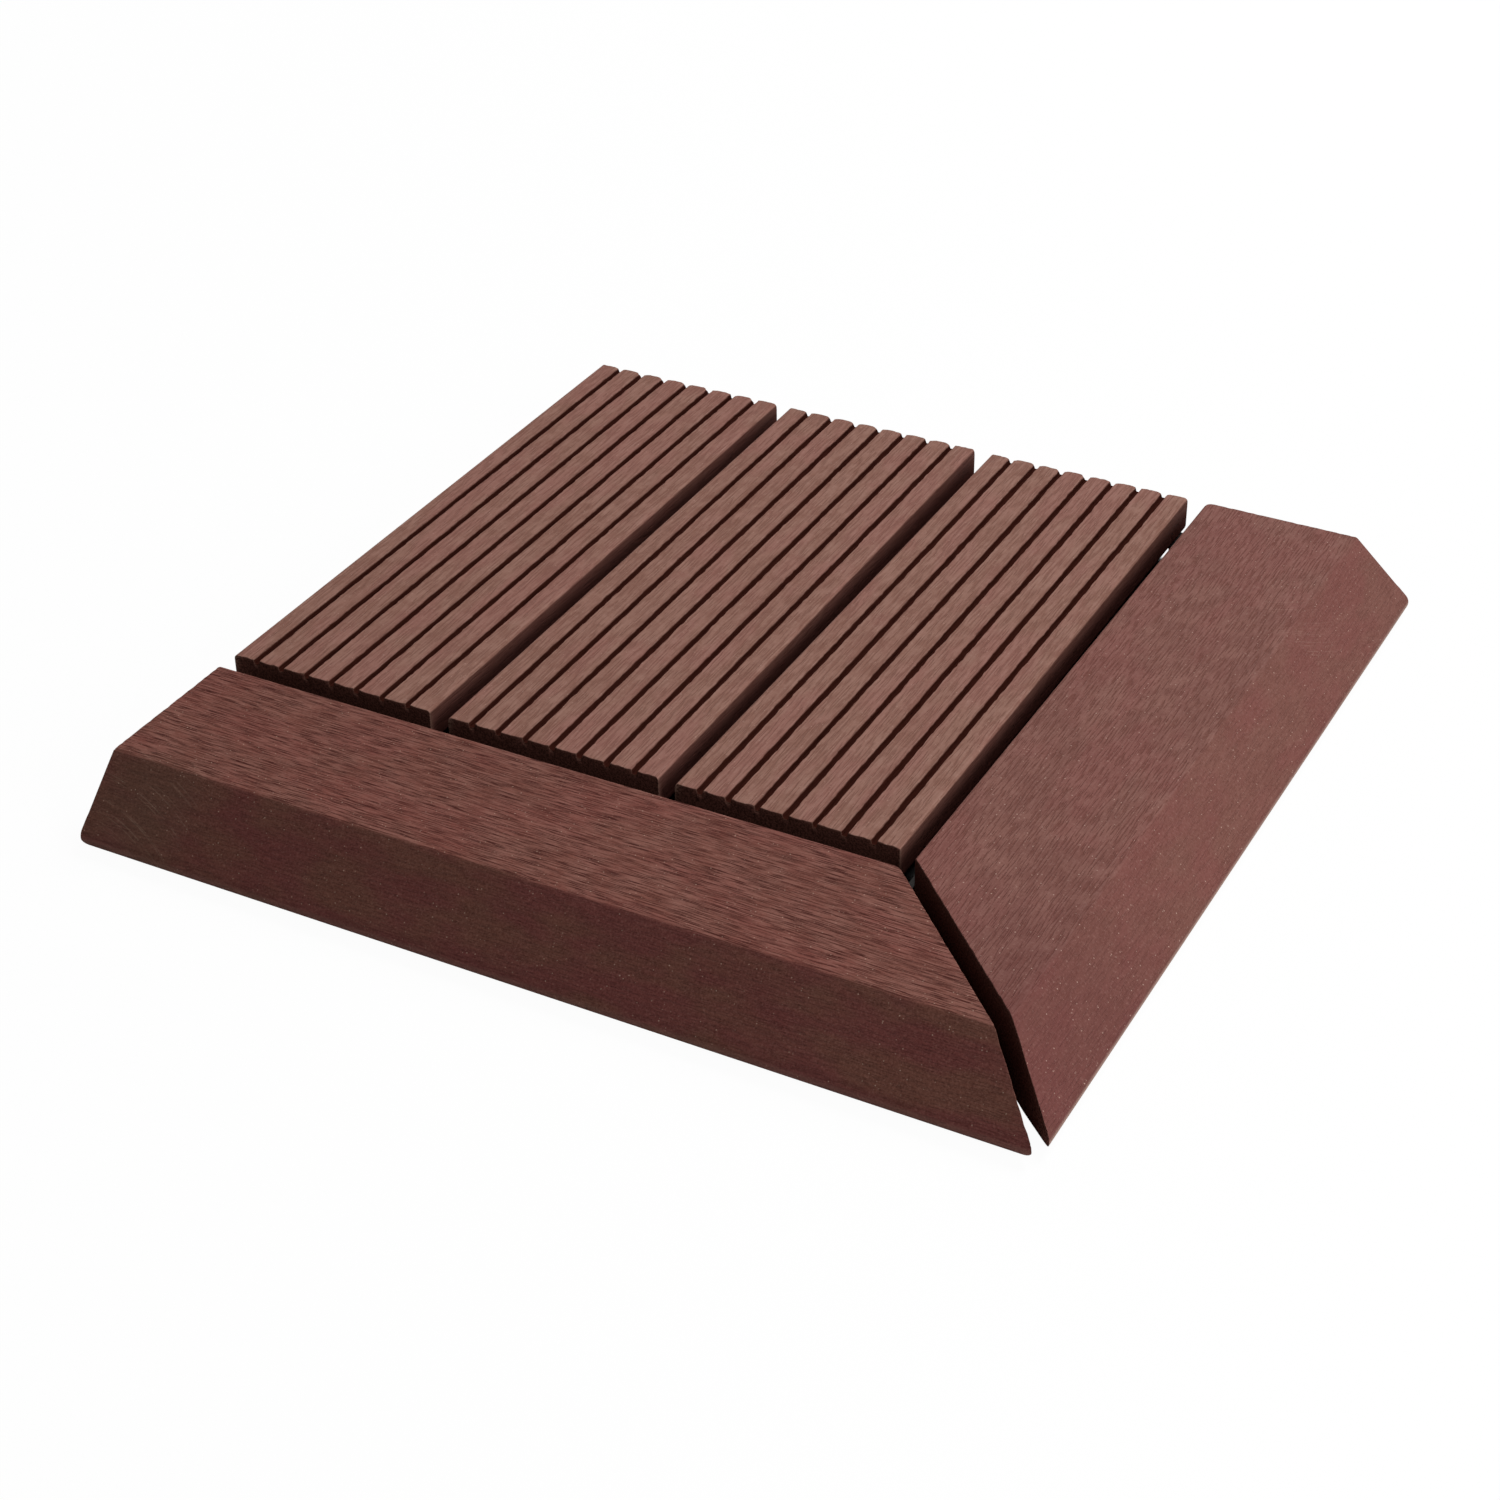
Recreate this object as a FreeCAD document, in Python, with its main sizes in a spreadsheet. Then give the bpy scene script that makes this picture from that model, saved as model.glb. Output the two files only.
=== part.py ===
import FreeCAD, Part
import math
import os

import Sketcher
from FreeCAD import Vector

# Bevelled corner piece of an interlocking deck tile: three grooved slats and two mitred edge boards of
# wood-plastic composite, screwed from below to a moulded lattice base. It lies flat, top face up.
# The origin is on the ground, under the middle of the whole tile. The edge boards are at +X and -Y.

# Driving dimensions in millimetres, angles in degrees
SIZES = {
    # Layout
    "board_width": 70.5,
    "board_gap": 6.0,
    "front_gap": 7.0,
    "total_height": 23.0,
    "base_height": 10.0,
    # Slats
    "slat_top_round": 1.2,
    "slat_bottom_round": 3.0,
    "groove_count": 7,
    "groove_pitch": 9.1,
    "groove_mouth": 2.2,
    "groove_floor": 1.3,
    "groove_depth": 1.5,
    "left_skew": 0.1,
    "middle_skew": 0.45,
    "right_skew": 0.25,
    # Edge boards
    "bevel_angle": 43.0,
    "nose_round": 3.5,
    "arris_round": 1.5,
    "inner_round": 1.0,
    "sole_width": 26.0,
    "mitre_gap": 5.4,
    "mitre_shift": 0.95,
    "worn_corner": 8.0,
    # Lattice base
    "base_inset": 0.5,
    "base_clearance": 0.5,
    "rib_thickness": 2.0,
    "rib_count": 10,
    "ground_clearance": 4.0,
    "foot_width": 8.0,
    "foot_hollow": 4.0,
    "foot_floor": 2.5,
    "boss_width": 12.0,
    "boss_hollow": 8.0,
    "boss_floor": 3.0,
    "screw_clearance": 0.35,
    "edge_screw_inset": 21.5,
    # Snap connectors
    "connector_lift": 0.4,
    "ring_thickness": 3.2,
    "ring_radius": 6.0,
    "ring_bore": 3.7,
    "arm_width": 8.0,
    "arm_root": 5.0,
    "peg_radius": 3.5,
    "peg_root_width": 10.0,
    "peg_tip_bevel": 0.6,
    "peg_inset": 6.0,
    # Screws
    "screw_length": 12.5,
    "shank_radius": 1.75,
    "head_radius": 3.4,
    "head_height": 2.0,
    "pilot_clearance": 0.05,
}

# Lengths that follow from the driving dimensions
PITCH = "(Sizes.board_width + Sizes.board_gap)"
OVERALL = "(4 * Sizes.board_width + 3 * Sizes.board_gap)"
CELL = "((Sizes.board_width + Sizes.board_gap) / 3)"
SLAT_LENGTH = f"({OVERALL} - Sizes.board_width - Sizes.front_gap)"
SLAT_THICKNESS = "(Sizes.total_height - Sizes.base_height)"
RING_OFFSET = "(Sizes.board_gap + Sizes.peg_inset)"
RING_REACH = f"({RING_OFFSET} + Sizes.ring_radius)"
# The tile's left edge and front toe line, seen from the origin
LEFT = f"(({RING_REACH} - {OVERALL}) / 2)"
FRONT = f"(-{OVERALL} / 2)"
# Lattice lines, counted from the tile's left edge and front toe line
FIRST_COLUMN = f"(Sizes.board_width / 2 - {CELL} / 2)"
FIRST_ROW = f"(Sizes.board_width / 2 + {CELL} / 2)"
BASE_EDGE = "(Sizes.sole_width + Sizes.base_clearance)"
BASE_REACH = f"({OVERALL} - {BASE_EDGE})"
SCREW_LINE = f"({BASE_EDGE} + Sizes.edge_screw_inset)"


def lattice_column(step):
    return f"({FIRST_COLUMN} + {step} * {CELL})"


def lattice_row(step):
    return f"({FIRST_ROW} + {step} * {CELL})"


# Screw places, all of them on the ribs of the lattice: two to a slat and three to an edge board. The edge
# boards' screws keep their distance from the lattice's outer edge.
SLAT_ROWS = [lattice_row(2), lattice_row(9)]
SLAT_COLUMNS = [f"(Sizes.board_width / 2 + {place} * {PITCH})" for place in (0, 1, 2)]
SLAT_SCREWS = [(column, row) for column in SLAT_COLUMNS for row in SLAT_ROWS]
FRONT_SCREWS = [(lattice_column(column), SCREW_LINE) for column in (0, 4, 8)]
RIGHT_SCREWS = [(f"({OVERALL} - {SCREW_LINE})", lattice_row(row)) for row in (1, 5, 9)]

doc = FreeCAD.newDocument("deck_tile_corner")
sheet = doc.addObject("Spreadsheet::Sheet", "Sizes")
for row, (alias, size) in enumerate(SIZES.items(), start=1):
    sheet.set(f"A{row}", alias)
    sheet.set(f"B{row}", str(size))
    sheet.setAlias(f"B{row}", alias)
doc.recompute()


def size_of(expression):
    """The present value of an expression on the sheet, in millimetres or degrees."""
    return float(sheet.evalExpression(expression))


def new_body(label):
    body = doc.addObject("PartDesign::Body", label)
    body.Label = label
    return body


def new_sketch(body, name, plane="XY_Plane", lift=None):
    """A sketch on one of the body's own origin planes, raised along the plane's normal by an expression."""
    sketch = body.newObject("Sketcher::SketchObject", name)
    support = [feature for feature in body.Origin.OriginFeatures if feature.Role == plane][0]
    sketch.AttachmentSupport = [(support, "")]
    sketch.MapMode = "FlatFace"
    if lift:
        sketch.setExpression("AttachmentOffset.Base.z", lift)
    return sketch


def pin_point(sketch, element, end, x, y, name):
    """Hold one point of a sketch element at the two expressions."""
    root, x_axis, y_axis = -1, -1, -2
    for kind, place, axis in (("DistanceX", x, y_axis), ("DistanceY", y, x_axis)):
        if place == "0":
            sketch.addConstraint(Sketcher.Constraint("PointOnObject", element, end, axis))
            continue
        index = sketch.addConstraint(Sketcher.Constraint(kind, root, 1, element, end, size_of(place)))
        label = f"{name}_{kind[-1].lower()}"
        sketch.renameConstraint(index, label)
        sketch.setExpression(f"Constraints.{label}", place)


def draw_circle(sketch, x, y, radius, name):
    centre = Vector(size_of(x), size_of(y), 0)
    circle = sketch.addGeometry(Part.Circle(centre, Vector(0, 0, 1), size_of(radius)), False)
    pin_point(sketch, circle, 3, x, y, name)
    index = sketch.addConstraint(Sketcher.Constraint("Radius", circle, size_of(radius)))
    sketch.renameConstraint(index, f"{name}_radius")
    sketch.setExpression(f"Constraints.{name}_radius", radius)


def round_points(before, corner, after, radius):
    """Where a rounding arc leaves both sides of a corner, and the arc's centre."""
    back = (before - corner).normalize()
    ahead = (after - corner).normalize()
    half_angle = back.getAngle(ahead) / 2
    run = radius / math.tan(half_angle)
    middle = (back + ahead).normalize() * (radius / math.sin(half_angle))
    return corner + back * run, corner + ahead * run, corner + middle


def draw_outline(sketch, corners, rounds=None):
    """A closed outline through corners given as pairs of expressions, with some of them rounded."""
    rounds = rounds or {}
    points = [Vector(size_of(x), size_of(y), 0) for x, y in corners]
    count = len(points)
    starts = list(points)
    ends = list(points)
    centres = {}
    for i, radius in rounds.items():
        corner = round_points(points[i - 1], points[i], points[(i + 1) % count], size_of(radius))
        ends[i], starts[i], centres[i] = corner
    lines = []
    for i in range(count):
        side = Part.LineSegment(starts[i], ends[(i + 1) % count])
        lines.append(sketch.addGeometry(side, False))
    for i, (x, y) in enumerate(corners):
        incoming, outgoing = lines[i - 1], lines[i]
        if i not in rounds:
            sketch.addConstraint(Sketcher.Constraint("Coincident", incoming, 2, outgoing, 1))
            pin_point(sketch, outgoing, 1, x, y, f"corner{i}")
            continue
        tip = sketch.addGeometry(Part.Point(points[i]), True)
        pin_point(sketch, tip, 1, x, y, f"corner{i}")
        sketch.addConstraint(Sketcher.Constraint("PointOnObject", tip, 1, incoming))
        sketch.addConstraint(Sketcher.Constraint("PointOnObject", tip, 1, outgoing))
        leave, arrive, centre = ends[i], starts[i], centres[i]
        turns_left = (leave - centre).cross(arrive - centre).z > 0
        first, last = (leave, arrive) if turns_left else (arrive, leave)
        start_angle = math.atan2(first.y - centre.y, first.x - centre.x)
        end_angle = math.atan2(last.y - centre.y, last.x - centre.x)
        circle = Part.Circle(centre, Vector(0, 0, 1), size_of(rounds[i]))
        arc = sketch.addGeometry(Part.ArcOfCircle(circle, start_angle, end_angle), False)
        sketch.addConstraint(Sketcher.Constraint("Tangent", incoming, 2, arc, 1 if turns_left else 2))
        sketch.addConstraint(Sketcher.Constraint("Tangent", arc, 2 if turns_left else 1, outgoing, 1))
        index = sketch.addConstraint(Sketcher.Constraint("Radius", arc, size_of(rounds[i])))
        sketch.renameConstraint(index, f"round{i}")
        sketch.setExpression(f"Constraints.round{i}", rounds[i])


def add_pad(body, name, sketch, length, symmetric=False, backwards=False):
    pad = body.newObject("PartDesign::Pad", name)
    pad.Profile = sketch
    pad.SideType = "Symmetric" if symmetric else "One side"
    pad.Reversed = backwards
    pad.setExpression("Length", length)
    body.Tip = pad
    return pad


def add_pocket(body, name, sketch, length, symmetric=False, upwards=False):
    """A cut whose recomputed volume must be smaller than what it started from."""
    doc.recompute()
    before = body.Shape.Volume
    pocket = body.newObject("PartDesign::Pocket", name)
    pocket.Profile = sketch
    pocket.SideType = "Symmetric" if symmetric else "One side"
    pocket.Reversed = upwards
    pocket.setExpression("Length", length)
    body.Tip = pocket
    doc.recompute()
    if body.Shape.Volume >= before:
        raise ValueError(f"{name} cuts nothing")
    return pocket


def add_row(body, name, feature, sketch, spacing, copies):
    """Repeat a feature along the sketch's horizontal axis."""
    row = body.newObject("PartDesign::LinearPattern", name)
    row.Originals = [feature]
    row.Direction = (sketch, ["H_Axis"])
    row.Mode = "Spacing"
    row.setExpression("Offset", spacing)
    row.setExpression("Occurrences", copies)
    body.Tip = row


def place(item, x, y, z="0", turn=None):
    """Set a solid by expressions, turned about its own vertical axis."""
    item.setExpression("Placement.Base.x", x)
    item.setExpression("Placement.Base.y", y)
    item.setExpression("Placement.Base.z", z)
    if turn:
        item.Placement.Rotation = FreeCAD.Rotation(Vector(0, 0, 1), size_of(turn))
        item.setExpression("Placement.Rotation.Angle", turn)


def add_box(name, left, right, low, high, foot, height):
    box = doc.addObject("Part::Box", name)
    box.setExpression("Length", f"{right} - ({left})")
    box.setExpression("Width", f"{high} - ({low})")
    box.setExpression("Height", height)
    place(box, left, low, foot)
    return box


def add_cylinder(name, centre, radius, foot, height):
    cylinder = doc.addObject("Part::Cylinder", name)
    cylinder.setExpression("Radius", radius)
    cylinder.setExpression("Height", height)
    place(cylinder, *centre, foot)
    return cylinder


def add_cone(name, centre, foot_radius, top_radius, foot, height):
    cone = doc.addObject("Part::Cone", name)
    cone.setExpression("Radius1", foot_radius)
    cone.setExpression("Radius2", top_radius)
    cone.setExpression("Height", height)
    place(cone, *centre, foot)
    return cone


def join(name, solids):
    fuse = doc.addObject("Part::MultiFuse", name)
    fuse.Label = name
    fuse.Shapes = solids
    fuse.Refine = True
    return fuse


# Slats

SLAT_CENTRE_Y = f"({OVERALL} - {SLAT_LENGTH} / 2)"


def make_slat(label, place_in_row, skew):
    """One slat about its own middle: rounded section, fine grooves and two screw holes from below."""
    body = new_body(label)
    section = new_sketch(body, f"{label}_section", "XZ_Plane")
    half = "Sizes.board_width / 2"
    draw_outline(
        section,
        [(f"-{half}", "0"), (half, "0"), (half, SLAT_THICKNESS), (f"-{half}", SLAT_THICKNESS)],
        {
            0: "Sizes.slat_bottom_round",
            1: "Sizes.slat_bottom_round",
            2: "Sizes.slat_top_round",
            3: "Sizes.slat_top_round",
        },
    )
    add_pad(body, f"{label}_length", section, SLAT_LENGTH, symmetric=True)

    # The first groove is drawn at the left, and the others repeat it across the slat
    groove = new_sketch(body, f"{label}_groove", "XZ_Plane")
    first = "(-(Sizes.groove_count - 1) * Sizes.groove_pitch / 2)"
    floor = f"{SLAT_THICKNESS} - Sizes.groove_depth"
    above = f"{SLAT_THICKNESS} + Sizes.groove_depth"
    draw_outline(
        groove,
        [
            (f"{first} - Sizes.groove_floor / 2", floor),
            (f"{first} + Sizes.groove_floor / 2", floor),
            (f"{first} + Sizes.groove_mouth / 2", SLAT_THICKNESS),
            (f"{first} + Sizes.groove_mouth / 2", above),
            (f"{first} - Sizes.groove_mouth / 2", above),
            (f"{first} - Sizes.groove_mouth / 2", SLAT_THICKNESS),
        ],
    )
    past_ends = f"{SLAT_LENGTH} + Sizes.groove_depth"
    cut = add_pocket(body, f"{label}_groove_cut", groove, past_ends, symmetric=True)
    add_row(body, f"{label}_grooves", cut, groove, "Sizes.groove_pitch", "Sizes.groove_count")

    # The screws stand square on the tile's own lines, so their holes turn back by the slat's skew
    holes = new_sketch(body, f"{label}_holes")
    for number, row in enumerate(SLAT_ROWS):
        along = f"({row} - {SLAT_CENTRE_Y})"
        hole = "Sizes.shank_radius + Sizes.pilot_clearance"
        draw_circle(holes, f"{along} * sin({skew})", f"{along} * cos({skew})", hole, f"hole{number}")
    depth = "Sizes.screw_length - Sizes.boss_floor + Sizes.pilot_clearance"
    add_pocket(body, f"{label}_hole_cut", holes, depth, upwards=True)
    middle = f"{LEFT} + Sizes.board_width / 2 + {place_in_row} * {PITCH}"
    place(body, middle, f"{FRONT} + {SLAT_CENTRE_Y}", "Sizes.base_height", skew)
    return body


# Edge boards

BEVEL_FOOT = "Sizes.nose_round * (1 - 1 / tan(Sizes.bevel_angle / 2))"
BEVEL_TOP = f"({BEVEL_FOOT} + Sizes.total_height / tan(Sizes.bevel_angle))"
MITRE_FRONT = f"({OVERALL} + sqrt(2) * (Sizes.mitre_shift - Sizes.mitre_gap / 2))"
MITRE_RIGHT = f"({OVERALL} + sqrt(2) * (Sizes.mitre_shift + Sizes.mitre_gap / 2))"


def draw_edge_section(sketch, sign):
    """The edge board's section, from the toe at zero towards the middle of the tile.

    The bevel runs tangent into a round nose, which meets the flat sole. Behind the sole the board is
    rebated, so that its inner part lies on the base as the slats do.
    """
    corners = [
        (BEVEL_FOOT, "0"),
        ("Sizes.sole_width", "0"),
        ("Sizes.sole_width", "Sizes.base_height"),
        ("Sizes.board_width", "Sizes.base_height"),
        ("Sizes.board_width", "Sizes.total_height"),
        (BEVEL_TOP, "Sizes.total_height"),
    ]
    rounds = {0: "Sizes.nose_round", 4: "Sizes.inner_round", 5: "Sizes.arris_round"}
    if sign < 0:
        corners = [(f"-({x})", y) for x, y in corners]
    draw_outline(sketch, corners, rounds)


def make_front_board():
    """The front board from the tile's left front corner, trimmed to the mitre."""
    body = new_body("front_edge_board")
    section = new_sketch(body, "front_section", "YZ_Plane")
    draw_edge_section(section, 1)
    add_pad(body, "front_length", section, OVERALL)
    over = "Sizes.mitre_gap"
    corner = f"({MITRE_FRONT} - Sizes.board_width)"
    beside = f"{corner} - 2 * Sizes.worn_corner"
    mitre = new_sketch(body, "front_mitre")
    # The upright edge at the mitre's inner end is worn round
    draw_outline(
        mitre,
        [
            (f"{MITRE_FRONT} + {over}", f"-{over}"),
            (f"{OVERALL} + 2 * {over}", f"-{over}"),
            (f"{OVERALL} + 2 * {over}", f"Sizes.board_width + {over}"),
            (beside, f"Sizes.board_width + {over}"),
            (beside, "Sizes.board_width"),
            (corner, "Sizes.board_width"),
        ],
        {5: "Sizes.worn_corner"},
    )
    add_pocket(body, "front_mitre_cut", mitre, "Sizes.total_height", upwards=True)
    add_pilot_holes(body, "front_holes", FRONT_SCREWS)
    place(body, LEFT, FRONT)
    return body


def make_right_board():
    """The right board from the tile's right toe line, trimmed to the mitre at its front end."""
    body = new_body("right_edge_board")
    section = new_sketch(body, "right_section", "XZ_Plane")
    draw_edge_section(section, -1)
    add_pad(body, "right_length", section, OVERALL, backwards=True)
    over = "Sizes.mitre_gap"
    trim = f"({MITRE_RIGHT} - {OVERALL})"
    mitre = new_sketch(body, "right_mitre")
    draw_outline(
        mitre,
        [
            (f"{trim} + {over}", f"-{over}"),
            (f"-Sizes.board_width - {over}", f"{trim} + Sizes.board_width + {over}"),
            (f"-Sizes.board_width - {over}", f"-{over}"),
        ],
    )
    add_pocket(body, "right_mitre_cut", mitre, "Sizes.total_height", upwards=True)
    add_pilot_holes(body, "right_holes", [(f"{x} - {OVERALL}", y) for x, y in RIGHT_SCREWS])
    place(body, f"{LEFT} + {OVERALL}", FRONT)
    return body


def add_pilot_holes(body, name, places):
    """Blind screw holes up into the rebated part of an edge board."""
    holes = new_sketch(body, name, lift="Sizes.base_height")
    for number, (x, y) in enumerate(places):
        draw_circle(holes, x, y, "Sizes.shank_radius + Sizes.pilot_clearance", f"hole{number}")
    depth = "Sizes.screw_length - Sizes.boss_floor + Sizes.pilot_clearance"
    add_pocket(body, f"{name}_cut", holes, depth, upwards=True)


# Lattice base

RIB_HEIGHT = "(Sizes.base_height - Sizes.ground_clearance)"
INNER_FACE = "Sizes.base_inset"
BACK_FACE = f"({OVERALL} - Sizes.base_inset)"

FEET = [(lattice_column(column), lattice_row(row)) for column in (2, 5, 8) for row in (1, 3, 5, 7)]
RING_ROWS = [lattice_row(row) for row in (1, 4, 7)]
PEG_COLUMNS = [lattice_column(column) for column in (2, 5, 8)]


def make_ribs():
    """The rim and two crossing sets of thin ribs, all carried clear of the ground."""
    ribs = []
    foot = "Sizes.ground_clearance"
    half = "Sizes.rib_thickness / 2"
    rim = f"{half} + Sizes.base_inset"
    lines = [lattice_column(step) for step in range(int(size_of("Sizes.rib_count")))]
    for number, x in enumerate([rim] + lines + [f"({BASE_REACH} - {half})"]):
        left, right = f"{x} - {half}", f"{x} + {half}"
        ribs.append(add_box(f"column_rib_{number}", left, right, BASE_EDGE, BACK_FACE, foot, RIB_HEIGHT))
    lines = [lattice_row(step) for step in range(int(size_of("Sizes.rib_count")))]
    for number, y in enumerate([f"{BASE_EDGE} + {half}"] + lines + [f"({BACK_FACE} - {half})"]):
        low, high = f"{y} - {half}", f"{y} + {half}"
        ribs.append(add_box(f"row_rib_{number}", INNER_FACE, BASE_REACH, low, high, foot, RIB_HEIGHT))
    return ribs


def add_block(name, centre, width, height):
    """A square post on the ground, about its centre."""
    x, y = centre
    half = f"{width} / 2"
    return add_box(name, f"{x} - {half}", f"{x} + {half}", f"{y} - {half}", f"{y} + {half}", "0", height)


def make_posts():
    """The screw bosses and feet: square tubes that stand on the ground, open below and closed on top."""
    posts = []
    hollows = []
    for number, centre in enumerate(SLAT_SCREWS + FRONT_SCREWS + RIGHT_SCREWS):
        posts.append(add_block(f"boss_{number}", centre, "Sizes.boss_width", "Sizes.base_height"))
        depth = "Sizes.base_height - Sizes.boss_floor"
        hollows.append(add_block(f"boss_hollow_{number}", centre, "Sizes.boss_hollow", depth))
        hole = "Sizes.shank_radius + Sizes.screw_clearance"
        hollows.append(add_cylinder(f"screw_hole_{number}", centre, hole, "0", "Sizes.base_height"))
    for number, centre in enumerate(FEET):
        posts.append(add_block(f"foot_{number}", centre, "Sizes.foot_width", "Sizes.base_height"))
        depth = "Sizes.base_height - Sizes.foot_floor"
        hollows.append(add_block(f"foot_hollow_{number}", centre, "Sizes.foot_hollow", depth))
    return posts, hollows


def make_rings():
    """The snap rings beyond the left rim, each on a flat arm that is rooted in the rim."""
    rings = []
    bores = []
    centre_x = f"(-{RING_OFFSET})"
    root_end = f"({INNER_FACE} + Sizes.arm_root)"
    lift = "Sizes.connector_lift"
    thickness = "Sizes.ring_thickness"
    root_height = f"Sizes.base_height - {lift}"
    for number, y in enumerate(RING_ROWS):
        low, high = f"{y} - Sizes.arm_width / 2", f"{y} + Sizes.arm_width / 2"
        centre = (centre_x, y)
        rings.append(add_cylinder(f"ring_{number}", centre, "Sizes.ring_radius", lift, thickness))
        rings.append(add_box(f"ring_arm_{number}", centre_x, root_end, low, high, lift, thickness))
        rings.append(add_box(f"ring_root_{number}", INNER_FACE, root_end, low, high, lift, root_height))
        bores.append(add_cylinder(f"ring_bore_{number}", centre, "Sizes.ring_bore", "0", "Sizes.base_height"))
    return rings, bores


def make_pegs():
    """The pegs just inside the back rim, bevelled at the tip, which drop into the next tile's rings."""
    pegs = []
    lift = "Sizes.connector_lift"
    bevel = "Sizes.peg_tip_bevel"
    tip_radius = f"Sizes.peg_radius - {bevel}"
    y = f"({OVERALL} - Sizes.peg_inset)"
    half = "Sizes.peg_root_width / 2"
    low = f"{y} - {half}"
    foot = "Sizes.ground_clearance"
    for number, x in enumerate(PEG_COLUMNS):
        pegs.append(add_cone(f"peg_tip_{number}", (x, y), tip_radius, "Sizes.peg_radius", lift, bevel))
        shaft = f"Sizes.ground_clearance - {lift} - {bevel}"
        pegs.append(add_cylinder(f"peg_{number}", (x, y), "Sizes.peg_radius", f"{lift} + {bevel}", shaft))
        left, right = f"{x} - {half}", f"{x} + {half}"
        pegs.append(add_box(f"peg_root_{number}", left, right, low, BACK_FACE, foot, RIB_HEIGHT))
    return pegs


def make_base():
    """The lattice with all that stands on it, joined in one go and then hollowed in one go."""
    posts, hollows = make_posts()
    rings, ring_bores = make_rings()
    base = doc.addObject("Part::Cut", "base_grid")
    base.Label = "base_grid"
    base.Base = join("base_solid", make_ribs() + posts + rings + make_pegs())
    base.Tool = join("base_hollows", hollows + ring_bores)
    base.Refine = True
    place(base, LEFT, FRONT)
    return base


# Screws


def make_screws(label, places):
    """A group of equal flat-topped screws, tip up, whose heads seat under the floors of their bosses."""
    parts = []
    seat = "(Sizes.base_height - Sizes.boss_floor)"
    for number, centre in enumerate(places):
        for piece, radius, foot, height in (
            ("head", "Sizes.head_radius", f"{seat} - Sizes.head_height", "Sizes.head_height"),
            ("shank", "Sizes.shank_radius", seat, "Sizes.screw_length"),
        ):
            parts.append(add_cylinder(f"{label}_{piece}_{number}", centre, radius, foot, height))
    group = join(label, parts)
    place(group, LEFT, FRONT)
    return group


sub_parts = [
    make_slat("slat_left", 0, "Sizes.left_skew"),
    make_slat("slat_middle", 1, "Sizes.middle_skew"),
    make_slat("slat_right", 2, "Sizes.right_skew"),
    make_front_board(),
    make_right_board(),
    make_base(),
    make_screws("slat_screws", SLAT_SCREWS),
    make_screws("front_board_screws", FRONT_SCREWS),
    make_screws("right_board_screws", RIGHT_SCREWS),
]
doc.recompute()

for item in doc.Objects:
    if "Invalid" in item.State or "Error" in item.State:
        raise ValueError(f"{item.Label} did not recompute: {item.State}")
for sub_part in sub_parts:
    if sub_part.Shape.isNull() or not sub_part.Shape.isValid():
        raise ValueError(f"{sub_part.Label} has no valid shape")

os.makedirs("parts", exist_ok=True)
for sub_part in sub_parts:
    sub_part.Shape.exportStep(f"parts/{sub_part.Label}.step")
    print(sub_part.Label, len(sub_part.Shape.Solids), round(sub_part.Shape.Volume, 1))
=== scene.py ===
import bmesh
import bpy
import numpy as np
from mathutils import Euler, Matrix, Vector


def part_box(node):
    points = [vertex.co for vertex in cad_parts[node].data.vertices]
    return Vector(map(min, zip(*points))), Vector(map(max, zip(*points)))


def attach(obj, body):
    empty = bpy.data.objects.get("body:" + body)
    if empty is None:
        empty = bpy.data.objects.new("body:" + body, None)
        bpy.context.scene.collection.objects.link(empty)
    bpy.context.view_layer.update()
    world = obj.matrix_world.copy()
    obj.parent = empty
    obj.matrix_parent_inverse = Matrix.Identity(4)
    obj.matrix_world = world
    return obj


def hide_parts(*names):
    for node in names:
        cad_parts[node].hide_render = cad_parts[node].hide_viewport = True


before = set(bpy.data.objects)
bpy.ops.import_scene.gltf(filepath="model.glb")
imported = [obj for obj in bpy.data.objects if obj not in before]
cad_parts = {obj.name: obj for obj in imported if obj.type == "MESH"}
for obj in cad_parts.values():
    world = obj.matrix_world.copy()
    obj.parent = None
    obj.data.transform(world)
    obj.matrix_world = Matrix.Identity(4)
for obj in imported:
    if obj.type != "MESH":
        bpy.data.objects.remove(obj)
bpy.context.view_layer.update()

# Lattice base
# One moulding of black polypropylene: crossing ribs, square feet and screw bosses, rings on the left and
# pegs at the back. It lies under the boards, so only the CAD solid's finish is made here.
MM = 0.001
PLASTIC_BLACK = (0.006, 0.005, 0.0045)
PALE_DUST = (0.036, 0.028, 0.024)
PLASTIC_SPECULAR = 0.15
PLASTIC_GRAIN_SCALE = 3.0
PLASTIC_GRAIN_DEPTH = 0.05
DUST_SCALE = 0.08


def plug(tree, socket, value):
    """Gives a socket a plain value, or links another node's output to it."""
    if isinstance(value, bpy.types.NodeSocket):
        tree.links.new(value, socket)
    else:
        socket.default_value = value


def feed(tree, node, **sockets):
    """Plugs a value into each named socket of a node."""
    for name, value in sockets.items():
        plug(tree, node.inputs[name.replace("_", " ")], value)


def add_node(tree, kind, settings=None, **sockets):
    """A shader node with its settings and the values of its sockets."""
    made = tree.nodes.new(f"ShaderNode{kind}")
    for name, value in (settings or {}).items():
        setattr(made, name, value)
    feed(tree, made, **sockets)
    return made


def calculate(tree, operation, first, second=0.0):
    """The result of one sum on two numbers or outputs."""
    made = add_node(tree, "Math", {"operation": operation})
    plug(tree, made.inputs[0], first)
    plug(tree, made.inputs[1], second)
    return made.outputs["Value"]


def noise(tree, place, scale, detail=3.0, roughness=0.55):
    """A cloudy pattern of values about a half, with the scale as its waves to a unit of place."""
    made = add_node(tree, "TexNoise", Vector=place, Scale=scale, Detail=detail, Roughness=roughness)
    return made.outputs["Fac"]


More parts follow.
